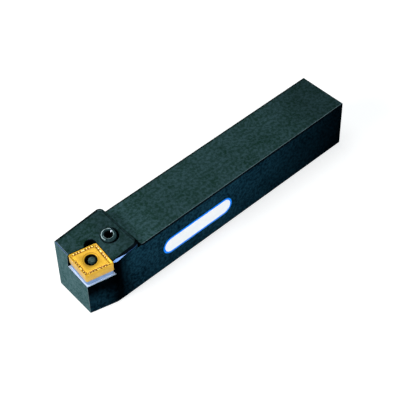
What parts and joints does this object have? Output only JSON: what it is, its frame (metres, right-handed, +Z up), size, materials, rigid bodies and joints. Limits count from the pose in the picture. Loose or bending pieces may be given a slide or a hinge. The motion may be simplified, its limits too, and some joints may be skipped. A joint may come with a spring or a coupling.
{
  "type": "turning tool holder",
  "caption": "Square-shank right-hand turning tool holder with an indexable rhombic insert on a shim, clamped by a lever and a screw in the head.",
  "frame": {"origin": "on the shank's base, under the middle of the overall length and width", "axes": "+X along the shank to the cutting corner, +Y to the cutting side, +Z up"},
  "size_m": [0.1499, 0.0251, 0.0295],
  "materials": {
    "black_steel": "satin black oxide on ground steel",
    "gold_coating": "satin gold coating on carbide",
    "carbide": "ground carbide",
    "pin_steel": "spring steel",
    "lever_steel": "satin black oxide",
    "screw_steel": "black oxide, worn bright at the rim",
    "label_film": "white film with a blue border"
  },
  "bodies": {
    "holder": {"holder_body": "black_steel", "shim": "carbide", "shim_pin": "pin_steel", "label": "label_film"},
    "insert": {"insert": "gold_coating"},
    "lever": {"lever": "lever_steel"},
    "clamp_screw": {"clamp_screw": "screw_steel"}
  },
  "joints": [
    {"name": "screw_travel", "type": "slide", "parent": "holder", "child": "clamp_screw", "axis": [0.0867, 0.1041, 0.9908], "range_m": [0, 0.001]},
    {"name": "lever_swing", "type": "hinge", "parent": "holder", "child": "lever", "pos_m": [0.06632, 0.00305, 0.0117], "axis": [-0.2923, 0.9534, -0.0746], "range_deg": [0, 6.22]},
    {"name": "insert_lift", "type": "slide", "parent": "holder", "child": "insert", "axis": [0.0867, 0.1041, 0.9908], "range_m": [0, 0.006]}
  ],
  "couplings": [
    {"joint": "lever_swing", "follows": "screw_travel", "rad_per_m": 108.56}
  ]
}
